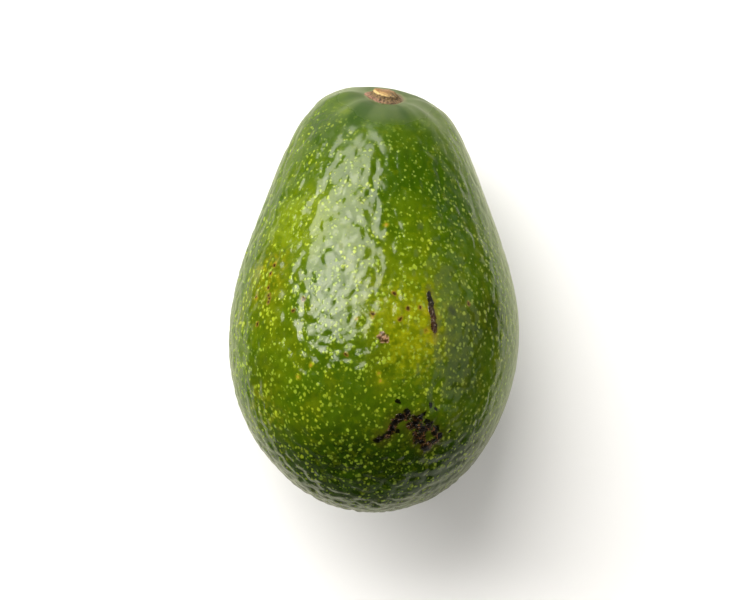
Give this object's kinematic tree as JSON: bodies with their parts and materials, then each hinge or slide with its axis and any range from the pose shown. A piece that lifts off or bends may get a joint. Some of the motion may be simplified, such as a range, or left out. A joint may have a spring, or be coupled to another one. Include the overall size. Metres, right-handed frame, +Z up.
{
  "type": "avocado",
  "caption": "Whole green avocado with pebbled, freckled skin and a short woody stem stub, lying on its side on a small flat spot.",
  "frame": {"origin": "on the surface that the fruit lies on, under the middle of its box", "axes": "+Z up, away from the surface; +Y along the fruit from the blossom end to the stem end; +X across it, to the right with the stem end ahead"},
  "size_m": [0.0682, 0.1, 0.0654],
  "materials": {
    "skin": "satin",
    "stem": "matte"
  },
  "bodies": {
    "root": {"fruit": "skin", "stem_stub": "stem"}
  },
  "joints": []
}
